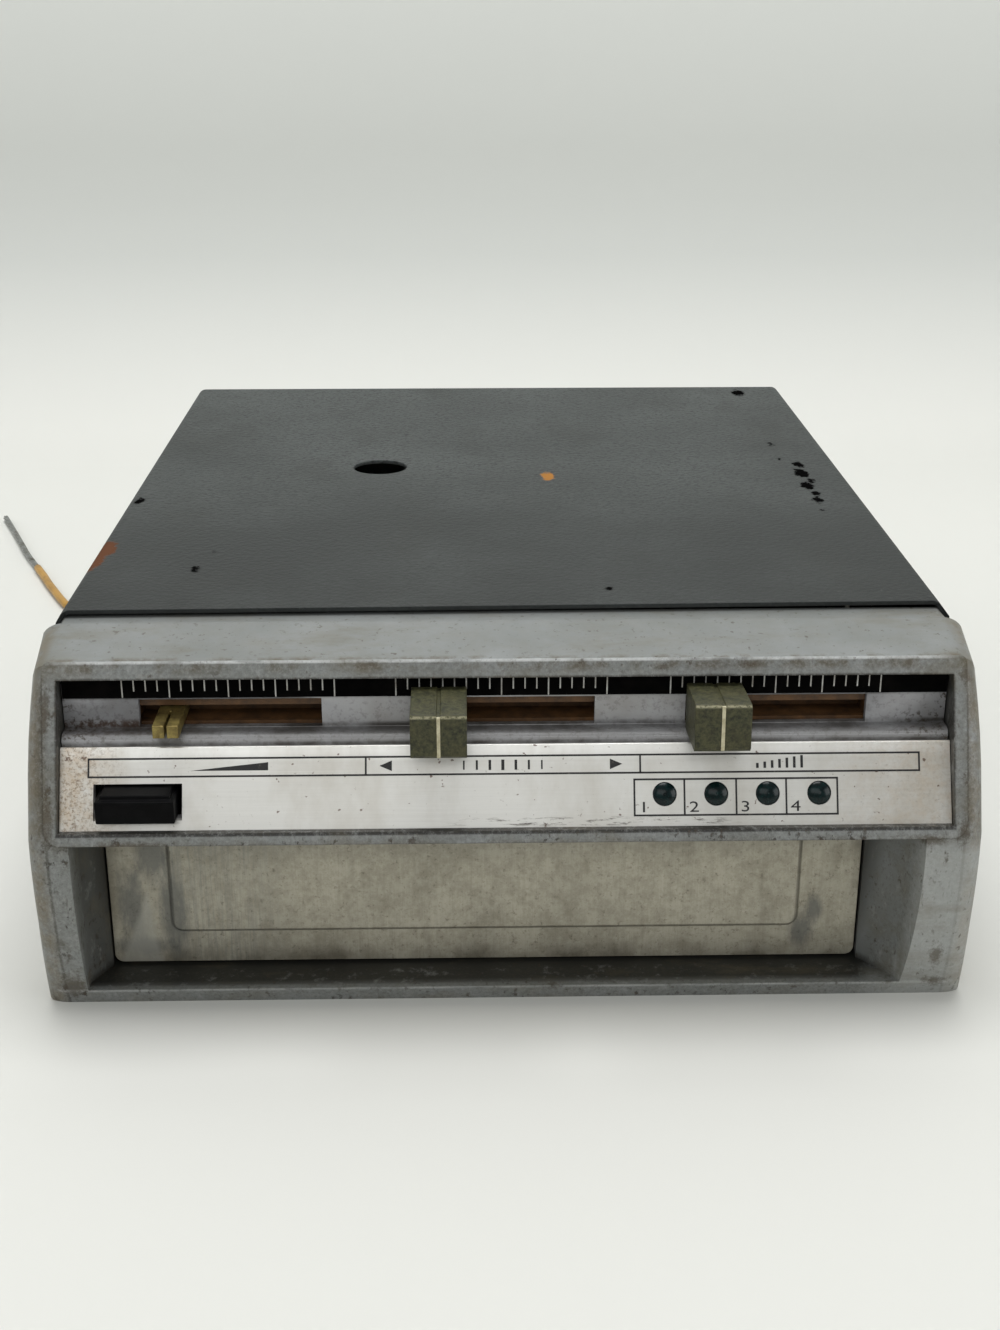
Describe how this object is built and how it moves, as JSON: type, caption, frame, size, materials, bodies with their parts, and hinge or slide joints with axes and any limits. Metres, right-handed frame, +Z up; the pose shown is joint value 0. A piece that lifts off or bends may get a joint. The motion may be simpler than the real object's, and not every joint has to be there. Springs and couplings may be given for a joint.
{
  "type": "tape cartridge player",
  "caption": "Under-dash car tape cartridge player: dark wrinkle-painted case, grey leaning bezel, slide controls, silver control plate, sprung cartridge door, one loose lead.",
  "frame": {"origin": "centre of the whole unit's footprint, on the surface that it stands on", "axes": "+X to the right seen from the front, +Y towards the back, +Z up; the front looks along -Y"},
  "size_m": [0.231, 0.2902, 0.0625],
  "materials": {
    "wrinkle_paint": "dark grey wrinkle enamel",
    "zinc_steel": "zinc plated sheet, satin",
    "bezel_paint": "mid grey enamel on die casting, satin, worn",
    "grey_plastic": "light grey moulded plastic",
    "black_strip": "black strip with pale tick marks",
    "silver_plate": "brushed, lacquered, a little stained",
    "green_lens": "dark green translucent jewel",
    "black_plastic": "moulded, satin",
    "lamp_glass": "clear",
    "phenolic": "brown laminate",
    "brass": "dulled brass",
    "knob_plastic": "olive grey moulded plastic with a cream line",
    "door_metal": "vertically brushed, lacquered, scuffed",
    "spring_steel": "bright wire",
    "nylon": "white nylon",
    "machined_steel": "ground steel",
    "rubber": "black rubber",
    "head_metal": "lapped metal can",
    "copper_coil": "lacquered copper winding",
    "board": "brown circuit board",
    "components": "blue and black component cases",
    "sink_metal": "plain aluminium",
    "screw_zinc": "zinc plated",
    "wire_jacket": "yellow ochre vinyl",
    "tinned_wire": "tinned copper strands"
  },
  "bodies": {
    "root": {"top_cover": "wrinkle_paint", "bottom_pan": "zinc_steel", "rear_panel": "zinc_steel", "bezel": "bezel_paint", "slider_fascia": "grey_plastic", "scale_strip": "black_strip", "control_plate": "silver_plate", "lenses": "green_lens", "lamp_holder": "black_plastic", "program_lamps": "lamp_glass", "button_spring": "spring_steel", "program_switch": "black_plastic", "control_board": "board", "volume_pot": "phenolic", "balance_pot": "phenolic", "tone_pot": "phenolic", "door_hinge_pin": "machined_steel", "door_spring": "spring_steel", "cartridge_tray": "zinc_steel", "left_bay_wall": "zinc_steel", "right_bay_wall": "zinc_steel", "latch_spring": "spring_steel", "deck_plate": "zinc_steel", "mechanism_posts": "machined_steel", "bearing_housing": "brass", "thrust_bracket": "zinc_steel", "motor": "zinc_steel", "drive_belt": "rubber", "lift_spring": "spring_steel", "solenoid_frame": "zinc_steel", "solenoid_coil": "copper_coil", "plunger_spring": "spring_steel", "power_switch": "black_plastic", "sensing_contacts": "brass", "amplifier_board": "board", "amplifier_parts": "components", "heat_sink": "sink_metal", "screws": "screw_zinc", "bracket_nuts": "screw_zinc", "wire_grommet": "rubber", "lead_wire": "wire_jacket", "lead_bare_end": "tinned_wire"},
    "volume_control": {"volume_lever": "brass"},
    "balance_control": {"balance_lever": "brass", "balance_knob": "knob_plastic"},
    "tone_control": {"tone_lever": "brass", "tone_knob": "knob_plastic"},
    "button": {"program_button": "black_plastic"},
    "door": {"cartridge_door": "door_metal"},
    "latch": {"latch_arm": "zinc_steel"},
    "roller": {"latch_roller": "nylon"},
    "capstan": {"capstan_shaft": "machined_steel", "flywheel": "brass"},
    "motor_rotor": {"motor_pulley": "brass"},
    "cam": {"program_cam": "nylon"},
    "head": {"head_carriage": "zinc_steel", "tape_head": "head_metal", "azimuth_screw": "brass"},
    "solenoid_plunger": {"plunger": "machined_steel"},
    "switch_lever": {"power_switch_lever": "brass"}
  },
  "joints": [
    {"name": "volume_slide", "type": "slide", "parent": "root", "child": "volume_control", "axis": [1, 0, 0], "range_m": [-0.0028, 0.022]},
    {"name": "balance_slide", "type": "slide", "parent": "root", "child": "balance_control", "axis": [1, 0, 0], "range_m": [-0.0019, 0.0229]},
    {"name": "tone_slide", "type": "slide", "parent": "root", "child": "tone_control", "axis": [1, 0, 0], "range_m": [-0.002, 0.0228]},
    {"name": "program_press", "type": "slide", "parent": "root", "child": "button", "axis": [0, 1, 0], "range_m": [0, 0.0025], "stiffness_N_per_m": 200, "springref_m": -0.0015, "deforming": ["button_spring"]},
    {"name": "door_hinge", "type": "hinge", "parent": "root", "child": "door", "pos_m": [-0.0035, -0.08265, 0.0306], "axis": [1, 0, 0], "range_deg": [0, 88], "stiffness_Nm_per_rad": 0.01, "springref_deg": -28.65, "deforming": ["door_spring"]},
    {"name": "latch_swing", "type": "hinge", "parent": "root", "child": "latch", "pos_m": [-0.0584, -0.03905, 0.0155], "axis": [0, 0, 1], "range_deg": [0, 7], "stiffness_Nm_per_rad": 0.05, "springref_deg": -8.59, "deforming": ["latch_spring"]},
    {"name": "latch_roller_spin", "type": "hinge", "parent": "latch", "child": "roller", "pos_m": [-0.056, -0.01105, 0.0155], "axis": [0, 0, 1], "continuous": true},
    {"name": "capstan_spin", "type": "hinge", "parent": "root", "child": "capstan", "pos_m": [0.039, 0.02245, 0.03], "axis": [0, 0, 1], "continuous": true},
    {"name": "motor_spin", "type": "hinge", "parent": "root", "child": "motor_rotor", "pos_m": [-0.046, 0.07095, 0.04], "axis": [0, 0, 1], "continuous": true},
    {"name": "cam_turn", "type": "hinge", "parent": "root", "child": "cam", "pos_m": [-0.002, 0.03895, 0.018], "axis": [0, 0, 1], "range_deg": [0, 135]},
    {"name": "head_lift", "type": "slide", "parent": "root", "child": "head", "axis": [0, 0, 1], "range_m": [0, 0.0024], "deforming": ["lift_spring"]},
    {"name": "plunger_pull", "type": "slide", "parent": "root", "child": "solenoid_plunger", "axis": [1, 0, 0], "range_m": [0, 0.0045], "stiffness_N_per_m": 150, "springref_m": -0.002, "deforming": ["plunger_spring"]},
    {"name": "power_switch_press", "type": "hinge", "parent": "root", "child": "switch_lever", "pos_m": [0.012, 0.02415, 0.0096], "axis": [0, 0, 1], "range_deg": [0, 12], "stiffness_Nm_per_rad": 0.002, "springref_deg": -11.46}
  ],
  "couplings": [
    {"joint": "motor_spin", "follows": "capstan_spin", "ratio": 4.5922},
    {"joint": "cam_turn", "follows": "head_lift", "rad_per_m": 981.74}
  ]
}
